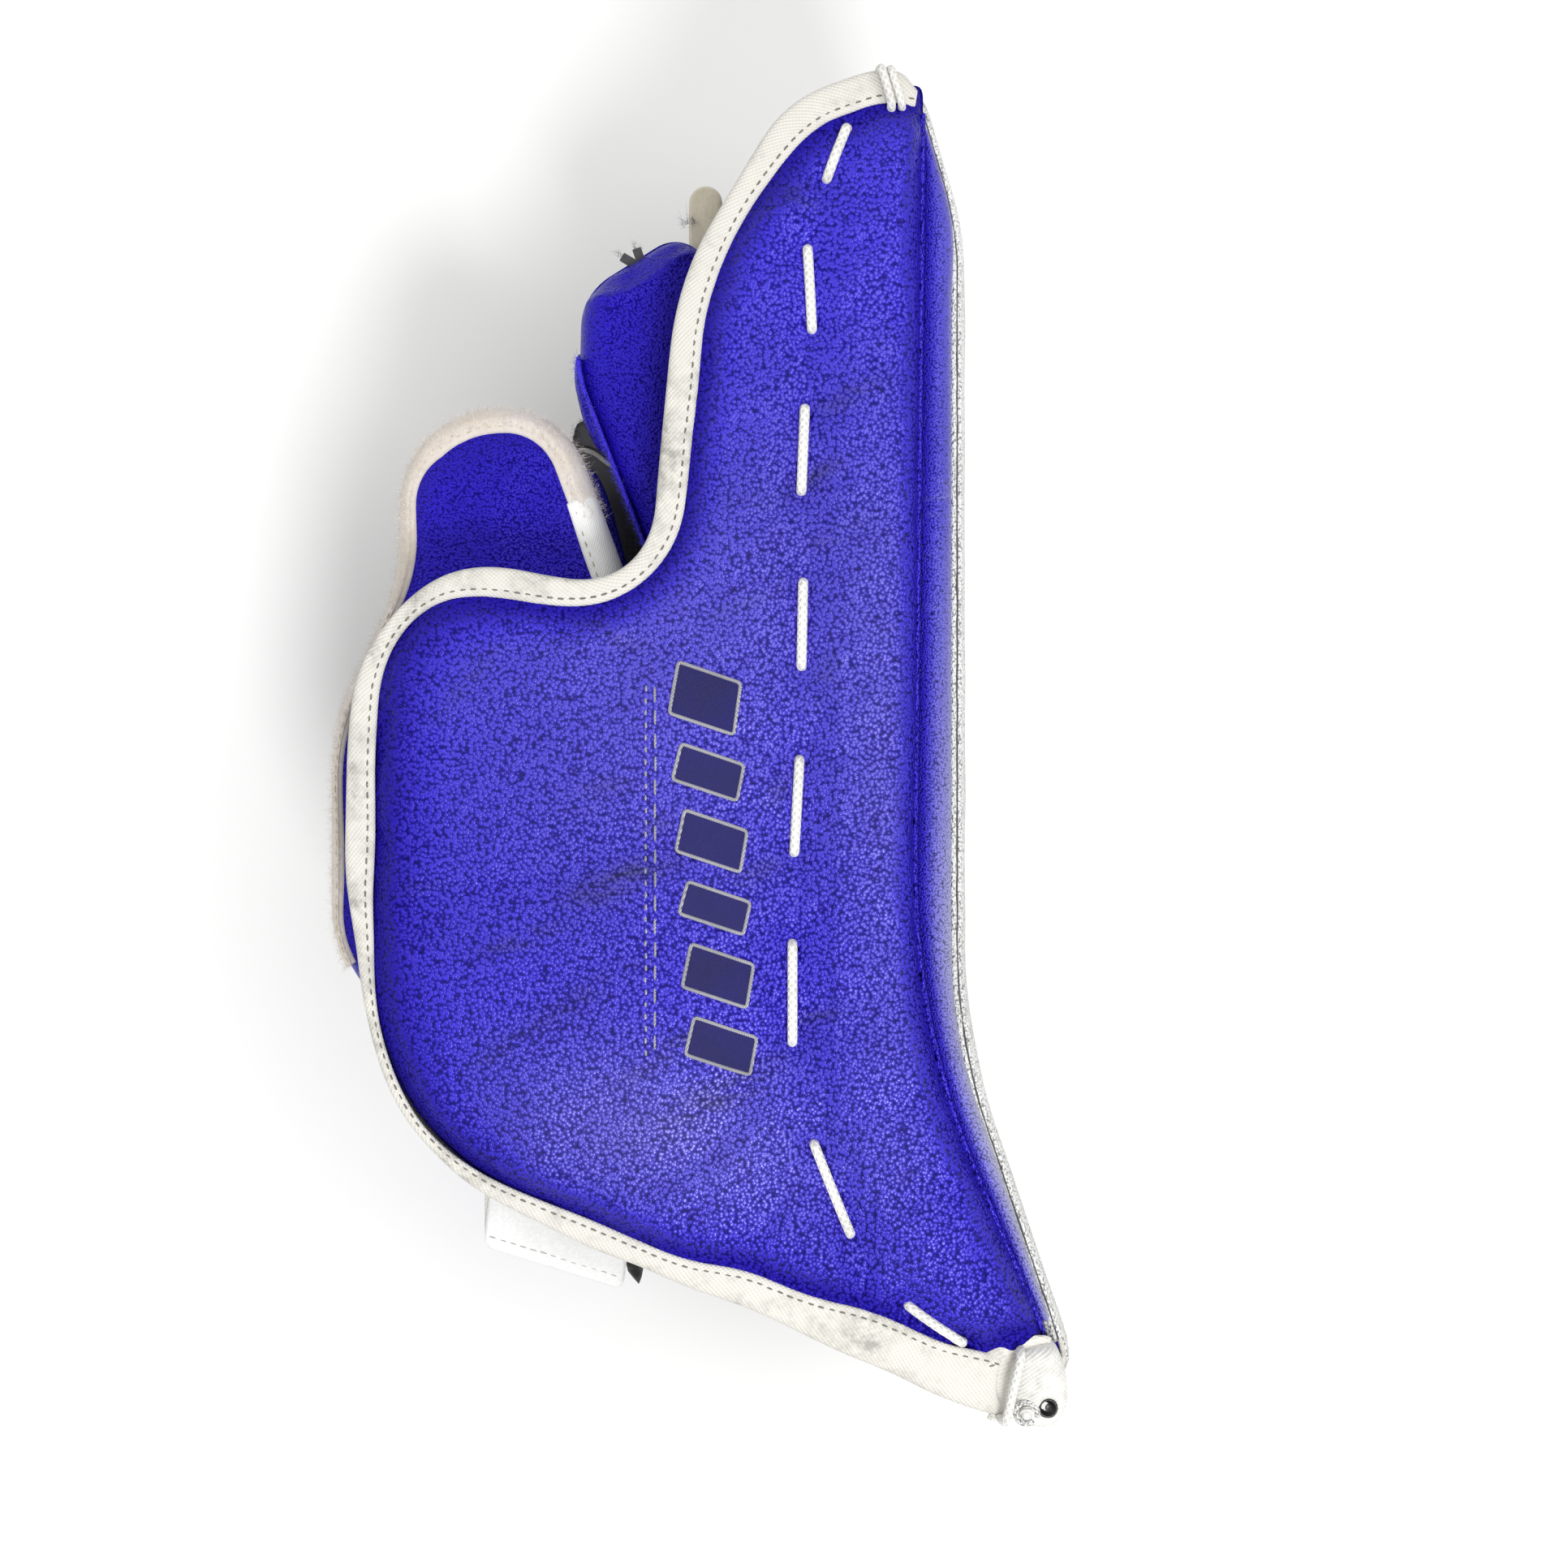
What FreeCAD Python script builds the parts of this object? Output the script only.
"""Ice-hockey goalie blocker for the right hand, as a parametric FreeCAD document.

The blocker lies on the long lower edge of its board. +X is the way the striking face looks,
+Y runs towards the fingertips, and +Z is up, towards the side board on the thumb side.
The origin is on the board's lower edge, in the middle of the blocker's length. Millimetres.
"""

import FreeCAD
import Part
import math
import os

Vector = FreeCAD.Vector
Z_AXIS = Vector(0, 0, 1)
OUT = "parts"

# Driving dimensions: alias, value, what it is.
DIMENSIONS = [
    ("board_wide", 185.0, "board, from the edge it rests on to the side board"),
    ("skin", 2.0, "leather or nylon skin on the board"),
    ("board_sheet", 1.6, "stiffening sheet behind the face"),
    ("roll_tall", 11.0, "padded roll beside the side board, above the board's edge"),
    ("graphic_thick", 1.0, "sewn leather graphics on the face"),
    ("lining_thick", 1.5, "nylon lining inside the side board"),
    ("side_sheet", 1.5, "stiffening sheet in the side board"),
    ("side_foam", 12.0, "foam in the side board"),
    ("side_cover", 3.0, "leather and scrim over the side board"),
    ("binding_thick", 1.6, "edge binding tape, two layers"),
    ("lace_dia", 3.2, "round braided lace"),
    ("knot_radius", 3.4, "overhand knot at each lace end"),
    ("hand_pad_thick", 11.0, "foam pad behind the hand"),
    ("hand_low", 37.0, "little-finger side of the palm"),
    ("hand_high", 147.0, "thumb side of the palm"),
    ("palm_leather", 3.0, "palm leather, doubled"),
    ("mesh_thick", 1.5, "mesh gusset"),
    ("finger_lean", 19.0, "how far the relaxed fingers lean off the board, degrees"),
    ("finger_pitch", 24.0, "from one finger to the next"),
    ("finger_radius", 11.8, "outside of a finger stall"),
    ("finger_room", 10.0, "inside of a finger stall"),
    ("thumb_radius", 14.0, "outside of the thumb stall"),
    ("thumb_room", 12.0, "inside of the thumb stall"),
    ("band_long", 6.0, "elastic band at the finger stalls' mouths"),
    ("guard_low", 150.0, "inside of the index finger guard"),
    ("guard_foam", 15.0, "foam of the finger and thumb guards"),
    ("guard_cover", 3.0, "leather of the finger and thumb guards"),
    ("thumb_low", 152.0, "inside of the thumb guard"),
    ("thumb_wall_low", 100.0, "lower rim of the thumb guard's side wall"),
    ("cuff_tall", 150.0, "cuff, from the surface it rests on"),
    ("cuff_pad", 11.0, "cuff padding"),
    ("cuff_outer", -121.0, "palm side of the cuff"),
    ("cuff_start", -96.0, "hand end of the cuff"),
    ("strap_wide", 35.0, "wrist strap"),
    ("strap_thick", 2.3, "wrist strap webbing"),
]

# Outlines as (x, y, corner radius), seen from the side board's side.
# The striking face, from the fingertip end to the forearm end, where the board bends forward.
FACE = [(8, 188.5, 4), (19.5, 150, 90), (19.5, -84, 170), (51, -177, 6)]
# The board's back, from the forearm end to the fingertip end.
BACK = [(46, -188.5, 5), (18, -177, 30), (-12, -152, 45), (-26, -102, 60), (-26, 158, 40), (-8, 188.5, 10)]
# The side board's front edge, beside the face, from the fingertip end to the forearm end.
SIDE_FRONT = [(9.5, 190.5, 9), (7, -79, 220), (45.5, -168, 3)]
# The side board's free edge: forearm tip, heel lobe, notch for the thumb, fingertip end.
SIDE_FREE = [
    (35, -186.6, 3),
    (-150.5, -110.5, 75),
    (-148, 59.5, 41),
    (-65.5, 44.5, 22),
    (-57, 131, 80),
    (-21, 190.5, 38),
]
END_FOLD = [(35.6, -187.4, 2), (46.2, -168.2, 2), (51.5, -176, 5), (50, -190.3, 7), (39, -190.3, 3)]
INDEX_GUARD = [(-90.5, 137, 18), (-91, 112, 30), (-70, 58, 6), (-46, 58, 6), (-54, 160, 10)]
THUMB_LEFT = [(-147, -80, 12), (-164, -62, 36), (-164, 6, 60), (-143.5, 50, 60), (-143.5, 99, 28)]
CUFF_MOUTH = [(-110, -149.5, 0), (-80, -160, 0)]
THUMB_RIGHT = [(-97, 101, 24), (-74, 38, 80), (-78, -80, 8)]
# Running stitches of the lace, each from the hole nearer the forearm to the hole nearer the fingertips.
STITCHES = [
    ((21, -168.5), (5, -157.5)),
    ((-11, -137.5), (-21.5, -111.5)),
    ((-27.5, -83.5), (-27.5, -55)),
    ((-27, -30), (-25.5, -3)),
    ((-25, 22.5), (-24.5, 47)),
    ((-25, 72), (-24, 96)),
    ((-22, 117.5), (-23.3, 141)),
    ((-18, 160), (-12, 175.5)),
]
FINGERS = [("little", 52.0), ("ring", 64.0), ("middle", 70.0), ("index", 66.0)]
FINGER_BASE = Vector(-56, 48, 0)
FIRST_FINGER_HIGH = 64.0
STITCH_EDGE_SPAN = 22.0

doc = FreeCAD.newDocument("goalie_blocker")
sheet = doc.addObject("Spreadsheet::Sheet", "dims")
parts = []


def fill_sheet():
    """Writes the driving dimensions into the spreadsheet, one named row each."""
    for row, (alias, size, note) in enumerate(DIMENSIONS, start=1):
        sheet.set(f"A{row}", alias)
        sheet.set(f"B{row}", str(size))
        sheet.set(f"C{row}", note)
        sheet.setAlias(f"B{row}", alias)
    doc.recompute()


def dim(alias):
    return float(sheet.get(alias))


def bound(expression):
    """Turns words such as 'board_wide - skin' into an expression on the spreadsheet."""
    words = expression.split()
    names = {alias for alias, _, _ in DIMENSIONS}
    return " ".join("dims." + word if word in names else word for word in words)


# ---------------------------------------------------------------- outlines


def direction(a, b):
    dx, dy = b[0] - a[0], b[1] - a[1]
    length = math.hypot(dx, dy)
    return dx / length, dy / length


def shifted(chain, distance):
    """An open chain of corners moved to its own left by distance, corner radii included."""
    ways = [direction(a, b) for a, b in zip(chain, chain[1:])]
    moved = []
    for i, (x, y, radius) in enumerate(chain):
        before, after = ways[max(i - 1, 0)], ways[min(i, len(ways) - 1)]
        turn = before[0] * after[1] - before[1] * after[0]
        share = distance / (1 + before[0] * after[0] + before[1] * after[1])
        nx, ny = -(before[1] + after[1]) * share, (before[0] + after[0]) * share
        sign = 0 if abs(turn) < 1e-9 else math.copysign(1, turn)
        moved.append((x + nx, y + ny, max(radius - sign * distance, 0.5)))
    return moved


def square_ended(chain):
    """The chain with sharp ends, where it is cut off."""
    (x0, y0, _), (x1, y1, _) = chain[0], chain[-1]
    return [(x0, y0, 0), *chain[1:-1], (x1, y1, 0)]


def ribbon(chain, near, far):
    """The closed outline between two shifted copies of an open chain."""
    flat = square_ended(chain)
    return shifted(flat, near) + shifted(flat, far)[::-1]


def rounded(corners):
    """Lines and tangent arcs round a closed list of (x, y, radius) corners."""
    ends = []
    for i, (x, y, radius) in enumerate(corners):
        a, b = corners[i - 1], corners[(i + 1) % len(corners)]
        into, out = direction(a, (x, y)), direction((x, y), b)
        turn = math.acos(max(-1.0, min(1.0, into[0] * out[0] + into[1] * out[1])))
        reach = radius * math.tan(turn / 2)
        start = Vector(x - into[0] * reach, y - into[1] * reach, 0)
        end = Vector(x + out[0] * reach, y + out[1] * reach, 0)
        middle = None
        if reach > 1e-6:
            inward = (start + end) / 2 - Vector(x, y, 0)
            sag = radius / math.cos(turn / 2) - radius
            middle = Vector(x, y, 0) + inward.normalize() * sag
        ends.append((start, middle, end))
    pieces = []
    for i, (start, middle, end) in enumerate(ends):
        if middle is not None:
            pieces.append(Part.Arc(start, middle, end))
        following = ends[(i + 1) % len(ends)][0]
        if (following - end).Length > 1e-6:
            pieces.append(Part.LineSegment(end, following))
    return pieces


def rectangle(x0, y0, x1, y1, radius=0):
    return [(x0, y0, radius), (x1, y0, radius), (x1, y1, radius), (x0, y1, radius)]


def between(a, b, distance):
    """The point at a distance from a towards b, as a chain end."""
    way = direction(a, b)
    return a[0] + way[0] * distance, a[1] + way[1] * distance, 0


# ---------------------------------------------------------------- features


def keep(feature, label):
    feature.Label = label
    parts.append(feature)
    return feature


def origin_plane(body, role):
    return next(f for f in body.Origin.OriginFeatures if f.Role == role)


def slab(label, outlines, low, high, plane="XY", edge=None, place=None):
    """A padded body that is a piece of its own."""
    return keep(padded(label, outlines, low, high, plane, edge, place), label)


def padded(label, outlines, low, high, plane="XY", edge=None, place=None):
    """A body padded from one or more closed outlines, from low to high across the plane.

    low, high and edge are expressions on the sheet. edge rounds the rims of both ends.
    """
    body = doc.addObject("PartDesign::Body", label)
    sketch = body.newObject("Sketcher::SketchObject", label + "_outline")
    sketch.AttachmentSupport = (origin_plane(body, plane + "_Plane"), [""])
    sketch.MapMode = "FlatFace"
    # The XZ plane looks along -Y, so its slab starts at the high end.
    start = bound(f"0 mm - ( {high} ) * 1 mm" if plane == "XZ" else f"( {low} ) * 1 mm")
    sketch.setExpression("AttachmentOffset.Base.z", start)
    for outline in outlines:
        sketch.addGeometry(rounded(outline), False)
    pad = body.newObject("PartDesign::Pad", label + "_pad")
    pad.Profile = sketch
    pad.setExpression("Length", bound(f"( ( {high} ) - ( {low} ) ) * 1 mm"))
    if edge:
        doc.recompute()
        axis = {"XY": "ZLength", "XZ": "YLength", "YZ": "XLength"}[plane]
        rims = [
            f"Edge{i}"
            for i, e in enumerate(pad.Shape.Edges, start=1)
            if getattr(e.BoundBox, axis) < 1e-3
        ]
        fillet = body.newObject("PartDesign::Fillet", label + "_rims")
        fillet.Base = (pad, rims)
        fillet.setExpression("Radius", bound(f"( {edge} ) * 1 mm"))
        body.Tip = fillet
    if place:
        body.Placement = place
    return body


def layer(label, outline, low, high):
    """A layer of the board, cut back to the board's rounded corners."""
    common = doc.addObject("Part::Common", label)
    common.Base = padded(label + "_blank", [outline], low, high)
    common.Tool = padded(label + "_board", [FACE + BACK], low, high)
    return keep(common, label)


def primitive(kind, name, place, **sizes):
    """A Part primitive with each size bound to the sheet."""
    made = doc.addObject("Part::" + kind, name)
    for size, expression in sizes.items():
        made.setExpression(size, bound(f"( {expression} ) * 1 mm"))
    made.Placement = place
    return made


def stall(label, place, radius, room, length):
    """A leather finger: a tube along its own +Y, closed by a half ball, hollow to the tip."""
    along_y = FreeCAD.Rotation(Vector(1, 0, 0), -90)
    cut = doc.addObject("Part::Cut", label)
    sides = []
    for side, wide in (("outside", radius), ("inside", room)):
        tube = primitive(
            "Cylinder", f"{label}_{side}", place * FreeCAD.Placement(Vector(), along_y),
            Radius=wide, Height=str(length),
        )
        ball_place = place * FreeCAD.Placement(Vector(0, length, 0), along_y)
        ball = primitive("Sphere", f"{label}_{side}_tip", ball_place, Radius=wide)
        fuse = doc.addObject("Part::Fuse", f"{label}_{side}_form")
        fuse.Base, fuse.Tool = tube, ball
        sides.append(fuse)
    cut.Base, cut.Tool = sides
    return keep(cut, label)


def shaped(label, shape):
    """A piece whose shape neither a body nor a primitive gives."""
    feature = doc.addObject("Part::Feature", label)
    feature.Shape = shape
    return keep(feature, label)


# ---------------------------------------------------------------- board


def build_board():
    wide = "board_wide"
    inner_low, inner_high = "skin", "board_wide - skin"
    skin, sheet_thick = dim("skin"), dim("board_sheet")
    # Inwards is to the right of FACE and of BACK, which run round the board clockwise.
    layer("board_face_cover", ribbon(FACE, 0, -skin), inner_low, inner_high)
    layer("board_stiffener", ribbon(FACE, -skin, -skin - sheet_thick), inner_low, inner_high)
    layer("board_back_cover", ribbon(BACK, 0, -skin), inner_low, inner_high)
    core_face = shifted(square_ended(FACE), -skin - sheet_thick)
    core_back = shifted(square_ended(BACK), -skin)
    layer("board_foam_core", core_face + core_back, inner_low, inner_high)
    slab("board_lower_gusset", [FACE + BACK], "0", "skin")
    slab("board_upper_gusset", [FACE + BACK], inner_high, wide)
    slab("board_edge_roll", [edge_roll_outline()], wide, "board_wide + roll_tall", edge="1.4")


def edge_roll_outline():
    """The strip of the board's upper edge that the side board leaves uncovered."""
    clear = 0.4
    front = shifted(square_ended(SIDE_FRONT), clear)
    face = [between(FACE[0], FACE[1], 18), *FACE[1:3], between(FACE[3], FACE[2], 28)]
    front = [(front[0][0], face[0][1], 0), front[1], between(front[2], front[1], 20)]
    return face + front[::-1]


def build_end_caps():
    """White binding round the board's two ends, over the skins."""
    thick = dim("binding_thick")
    fingertip = [between(FACE[0], FACE[1], STITCH_EDGE_SPAN), FACE[0], BACK[-1]]
    fingertip.append(between(BACK[-1], BACK[-2], 18))
    forearm = [between(FACE[3], FACE[2], STITCH_EDGE_SPAN), FACE[3], BACK[0]]
    forearm.append(between(BACK[0], BACK[1], 18))
    slab("fingertip_end_binding", [ribbon(fingertip, 0, -thick)], "1", "board_wide")
    slab("forearm_end_binding", [ribbon(forearm, 0, thick)], "1", "board_wide")


def build_face_graphics():
    """Sewn leather shapes on the striking face, as (y, z) outlines on its flat part."""
    face_x, high_x = "19.5", "19.5 + graphic_thick"
    upper = [(132, 150, 4), (20, 150, 12), (-8, 172, 4), (132, 172, 4)]
    lower = [(132, 14, 4), (-8, 14, 4), (20, 36, 12), (132, 36, 4)]
    centre = [(96, 93, 6), (30, 128, 6), (-40, 128, 6), (16, 93, 8), (-40, 58, 6), (30, 58, 6)]
    for label, outline in (
        ("face_graphic_upper", upper),
        ("face_graphic_lower", lower),
        ("face_graphic_chevron", centre),
    ):
        slab(label, [outline], face_x, high_x, plane="YZ")


# ---------------------------------------------------------------- side board


def build_side_board():
    """Lining, stiffening sheet, foam and leather, stacked upwards, with tape round the free edge."""
    tape = dim("binding_thick")
    around = square_ended([SIDE_FRONT[-1], *SIDE_FREE, SIDE_FRONT[0]])
    stack = [shifted(SIDE_FRONT, -0.4)[1], *shifted(around, -tape)]
    levels = [
        ("side_board_lining", "board_wide", "lining_thick"),
        ("side_board_stiffener", "board_wide + lining_thick", "side_sheet"),
        ("side_board_foam", "board_wide + lining_thick + side_sheet", "side_foam"),
        ("side_board_cover", "board_wide + lining_thick + side_sheet + side_foam", "side_cover"),
    ]
    for label, low, thick in levels:
        slab(label, [stack], low, f"{low} + {thick}")
    top = "board_wide + lining_thick + side_sheet + side_foam + side_cover"
    free = [between(SIDE_FREE[0], SIDE_FRONT[2], 8), *SIDE_FREE, between(SIDE_FREE[-1], SIDE_FRONT[0], 24)]
    slab("side_board_binding", [ribbon(free, 0, -tape)], "board_wide", top)
    slab("binding_end_fold", [END_FOLD], "board_wide", top, edge="1.5")


def lace_path():
    """The lace's corners: over each stitch on the leather, and under the side board between them."""
    radius = dim("lace_dia") / 2
    top = side_top() + radius
    under = dim("board_wide") - 4
    hang = side_top() - 9
    path = [Vector(31.5, -190.5, hang), Vector(32, -190.5, top), Vector(37, -170.5, top)]
    path.append(Vector(37, -170.5, under))
    for near, far in STITCHES:
        path += [
            Vector(near[0], near[1], under),
            Vector(near[0], near[1], top),
            Vector(far[0], far[1], top),
            Vector(far[0], far[1], under),
        ]
    path += [Vector(0.5, 181, under), Vector(0.5, 181, top)]
    path += [Vector(-3, 194.2, top), Vector(-3, 194.2, hang)]
    return path


def side_top():
    return sum(dim(d) for d in ("board_wide", "lining_thick", "side_sheet", "side_foam", "side_cover"))


def wire_through(points, radius):
    """Straight runs joined by tangent arcs of one radius, or less where a run is short."""
    edges, start = [], points[0]
    for before, corner, after in zip(points, points[1:], points[2:]):
        into, out = (corner - before).normalize(), (after - corner).normalize()
        half = into.getAngle(out) / 2
        room = 0.45 * min((corner - before).Length, (after - corner).Length)
        reach = min(radius * math.tan(half), room)
        bend = reach / math.tan(half)
        a, b = corner - into * reach, corner + out * reach
        inward = ((a + b) / 2 - corner).normalize()
        middle = corner + inward * (bend / math.cos(half) - bend)
        edges += [Part.LineSegment(start, a).toShape(), Part.Arc(a, middle, b).toShape()]
        start = b
    edges.append(Part.LineSegment(start, points[-1]).toShape())
    return Part.Wire(edges)


def swept_cord(points, diameter, bend):
    """A round cord along the points, and its volume against section times length."""
    wire = wire_through(points, bend)
    first = (points[1] - points[0]).normalize()
    section = Part.Wire(Part.Circle(points[0], first, diameter / 2).toShape())
    cord = wire.makePipeShell([section], True, False)
    expected = math.pi * diameter**2 / 4 * wire.Length
    print(f"cord: length {wire.Length:.0f} mm, volume {cord.Volume / expected:.4f} of section times length")
    return cord


def build_lacing():
    path = lace_path()
    diameter = dim("lace_dia")
    shaped("side_lace", swept_cord(path, diameter, diameter))
    knots = [Part.makeSphere(dim("knot_radius"), end) for end in (path[0], path[-1])]
    lace = parts[-1].Shape
    shaped("lace_knots", Part.makeCompound([knot.cut(lace) for knot in knots]))


# ---------------------------------------------------------------- palm


def build_palm():
    """What the hand lies in: a pad on the board's back, a leather palm and a mesh side."""
    back_x = BACK[3][0]
    pad_x = back_x - dim("hand_pad_thick")
    low, high = dim("hand_low"), dim("hand_high")
    leather = dim("palm_leather")
    heel, knuckles = "-82", "38"
    hand = rectangle(-80, low + 8, 38, high - 6, 12)
    slab("back_hand_pad", [hand], f"{back_x} - hand_pad_thick", str(back_x), plane="YZ", edge="3")
    slab("back_hand_liner", [hand], f"{pad_x} - 1.4", str(pad_x), plane="YZ")
    # Flange on the board's back, floor under the little finger, wall across the palm.
    flange = [(back_x, low - 20, 0), (back_x, low + leather, 0), (-73, low + leather, 3), (-73, 112, 0)]
    wall = [(-76, 112, 0), (-76, low, 6), (back_x - leather, low, 0), (back_x - leather, low - 20, 0)]
    slab("palm", [flange + wall], heel, knuckles, plane="XZ")
    edge = rectangle(-77.5, 112, -71.5, 117, 1.5)
    slab("palm_edge_binding", [edge], heel, knuckles, plane="XZ")
    mesh_top = "hand_high + mesh_thick"
    slab("palm_mesh_gusset", [rectangle(-66, -80, back_x, 34)], "hand_high", mesh_top)
    crotch = [(-66.3, -62, 0), (-66.3, 34, 6), (-88, 44, 8), (-88, -62, 6)]
    slab("thumb_crotch_gusset", [crotch], "hand_high", mesh_top)
    wrist = [(-76.3, -82.4, 0), (-113, -92.5, 0), (-113, -94, 0), (-76.3, -84, 0)]
    slab("wrist_gusset", [wrist], "hand_low + 6", "112")
    build_palm_lace(back_x - leather, low - 10)


def build_palm_lace(face_x, height):
    """Running stitches that hold the palm's flange to the board's back."""
    diameter = 2.4
    out, under = face_x - diameter / 2, face_x + 5
    path = []
    for stitch in range(4):
        y = -72 + 28 * stitch
        path += [Vector(under, y, height), Vector(out, y, height)]
        path += [Vector(out, y + 14, height), Vector(under, y + 14, height)]
    shaped("palm_lace", swept_cord(path, diameter, diameter))


# ---------------------------------------------------------------- fingers


def build_fingers():
    lean = FreeCAD.Rotation(Z_AXIS, dim("finger_lean"))
    pitch = dim("finger_pitch")
    for i, (name, length) in enumerate(FINGERS):
        base = FINGER_BASE + Vector(0, 0, FIRST_FINGER_HIGH + i * pitch)
        place = FreeCAD.Placement(base, lean)
        stall(f"{name}_finger_stall", place, "finger_radius", "finger_room", length)
    low = FIRST_FINGER_HIGH - pitch / 2
    high = low + pitch * len(FINGERS)
    wall, half = 1.6, dim("finger_radius") + 0.3
    ring = [
        rectangle(-half - wall, low - wall, half + wall, high + wall, 8),
        rectangle(-half, low, half, high, 6.5),
    ]
    place = FreeCAD.Placement(FINGER_BASE, lean)
    slab("knuckle_band", ring, "0 - band_long", "0", plane="XZ", place=place)
    foam_top = "guard_low + guard_foam"
    slab("index_guard_foam", [INDEX_GUARD], "guard_low", foam_top)
    slab("index_guard_cover", [INDEX_GUARD], foam_top, f"{foam_top} + guard_cover", edge="1.4")
    left = [between(INDEX_GUARD[1], INDEX_GUARD[0], 14), INDEX_GUARD[1], INDEX_GUARD[2]]
    slab("index_guard_piping", [ribbon(left, 0, -2.2)], "guard_low - 2", f"{foam_top} + 1")
    tab = rectangle(-58.5, 149, -49, 171.5, 4.6)
    slab("fingertip_tab", [tab], "guard_low - 3", "guard_low", edge="0.8")


# ---------------------------------------------------------------- thumb


def build_thumb():
    outline = THUMB_LEFT + THUMB_RIGHT
    foam_top = "thumb_low + guard_foam - 1"
    slab("thumb_guard_foam", [outline], "thumb_low", foam_top)
    slab("thumb_guard_cover", [outline], foam_top, f"{foam_top} + guard_cover", edge="1.4")
    wall = [(-150, -78, 0), *THUMB_LEFT[1:4], (-143.5, 70, 0)]
    slab("thumb_side_pad", [ribbon(wall, 0, -8)], "thumb_wall_low", "thumb_low")
    tape = dim("binding_thick")
    turn_x, turn_y = THUMB_RIGHT[0][:2]
    patch_start = between((turn_x, turn_y), THUMB_RIGHT[1], 34)
    patch_end = between((turn_x, turn_y), THUMB_RIGHT[1], 58)
    around = [(-150, -78, 0), *THUMB_LEFT[1:], THUMB_RIGHT[0], patch_start]
    slab("thumb_binding", [ribbon(around, 0, tape)], "thumb_low - 2", f"{foam_top} + guard_cover")
    patch = [patch_start, patch_end]
    slab("thumb_binding_patch", [ribbon(patch, 0, tape)], "thumb_low - 2", f"{foam_top} + guard_cover")
    lean = FreeCAD.Rotation(Z_AXIS, 10)
    place = FreeCAD.Placement(Vector(-104, -8, 137), lean)
    stall("thumb_stall", place, "thumb_radius", "thumb_room", 74)


# ---------------------------------------------------------------- cuff and strap


def build_cuff():
    """Padded trough round the forearm, open towards the board, with its strap on the palm side."""
    outer, start = dim("cuff_outer"), dim("cuff_start")
    inner = outer + dim("cuff_pad")
    reach = -80.0
    # The cuff's mouth is cut on a slant, like the side board above it.
    side = [(inner, CUFF_MOUTH[0][1], 0), (inner, start, 0), (reach, start, 8), (reach, CUFF_MOUTH[1][1], 8)]
    slab("cuff_little_finger_pad", [side], "0", "cuff_pad")
    slab("cuff_thumb_pad", [side], "cuff_tall - cuff_pad", "cuff_tall")
    palm_side = rectangle(outer, CUFF_MOUTH[0][1], inner, start)
    slab("cuff_palm_pad", [palm_side], "0", "cuff_tall")
    liner = rectangle(inner, CUFF_MOUTH[0][1] + 1, inner + 1.5, start - 1)
    slab("cuff_liner", [liner], "cuff_pad", "cuff_tall - cuff_pad")
    lip = [*CUFF_MOUTH, (reach + 5, -164, 0), (reach + 5, -166.5, 0), (inner - 6, -152, 0)]
    slab("cuff_binding", [lip], "cuff_tall - cuff_pad", "cuff_tall", edge="0.6")
    elastic = [(-78, -159, 0), (-74.3, -163.6, 0), (-72, -150, 4), (-21, -126, 0), (-27, -102, 0), (-78, -128, 0)]
    slab("cuff_elastic", [elastic], "cuff_tall - 8", "cuff_tall - 6")
    build_strap(outer)


def build_strap(outer):
    """The strap is sewn across the cuff's thumb side and hooks onto its palm side."""
    low_y, high_y = "-133", "-133 + strap_wide"
    thick = dim("strap_thick")
    anchor = [(outer - 1.6, -98, 3), (-84, -113, 2), (-84, -157.5, 2), (outer - 1.6, -144, 3)]
    slab("strap_anchor", [anchor], "cuff_tall", "cuff_tall + strap_thick")
    loop = rectangle(outer - 1, 22, outer, 82)
    slab("strap_loop_patch", [loop], low_y, high_y, plane="XZ")
    hook = rectangle(outer - 2.2, 28, outer - 1.2, 72)
    slab("strap_hook_patch", [hook], "-131", "-131 + strap_wide - 4", plane="XZ")
    strap = rectangle(outer - 2.2 - thick, 24, outer - 2.2, dim("cuff_tall") - 0.6)
    slab("wrist_strap", [strap], low_y, high_y, plane="XZ")
    tab = rectangle(outer - 2.2 - thick, 12, outer - 2.2, 24)
    slab("strap_pull_tab", [tab], "-128", "-128 + strap_wide - 10", plane="XZ")


# ---------------------------------------------------------------- checks and export


def check():
    """Stops if any object failed, or any piece isn't a whole, valid solid."""
    doc.recompute()
    failed = [o.Name for o in doc.Objects if {"Invalid", "Error"} & set(o.State)]
    bad = [
        p.Label
        for p in parts
        if p.Shape.isNull() or not p.Shape.isValid() or not p.Shape.Solids or p.Shape.Volume <= 0
    ]
    if failed or bad:
        raise SystemExit(f"failed objects: {failed}; bad pieces: {bad}")


def export():
    os.makedirs(OUT, exist_ok=True)
    for stale in os.listdir(OUT):
        os.remove(os.path.join(OUT, stale))
    for part in parts:
        part.Shape.exportStep(os.path.join(OUT, part.Label + ".step"))
    print(f"{len(parts)} pieces")


fill_sheet()
build_board()
build_end_caps()
build_face_graphics()
build_side_board()
build_lacing()
build_palm()
build_fingers()
build_thumb()
build_cuff()
check()
export()
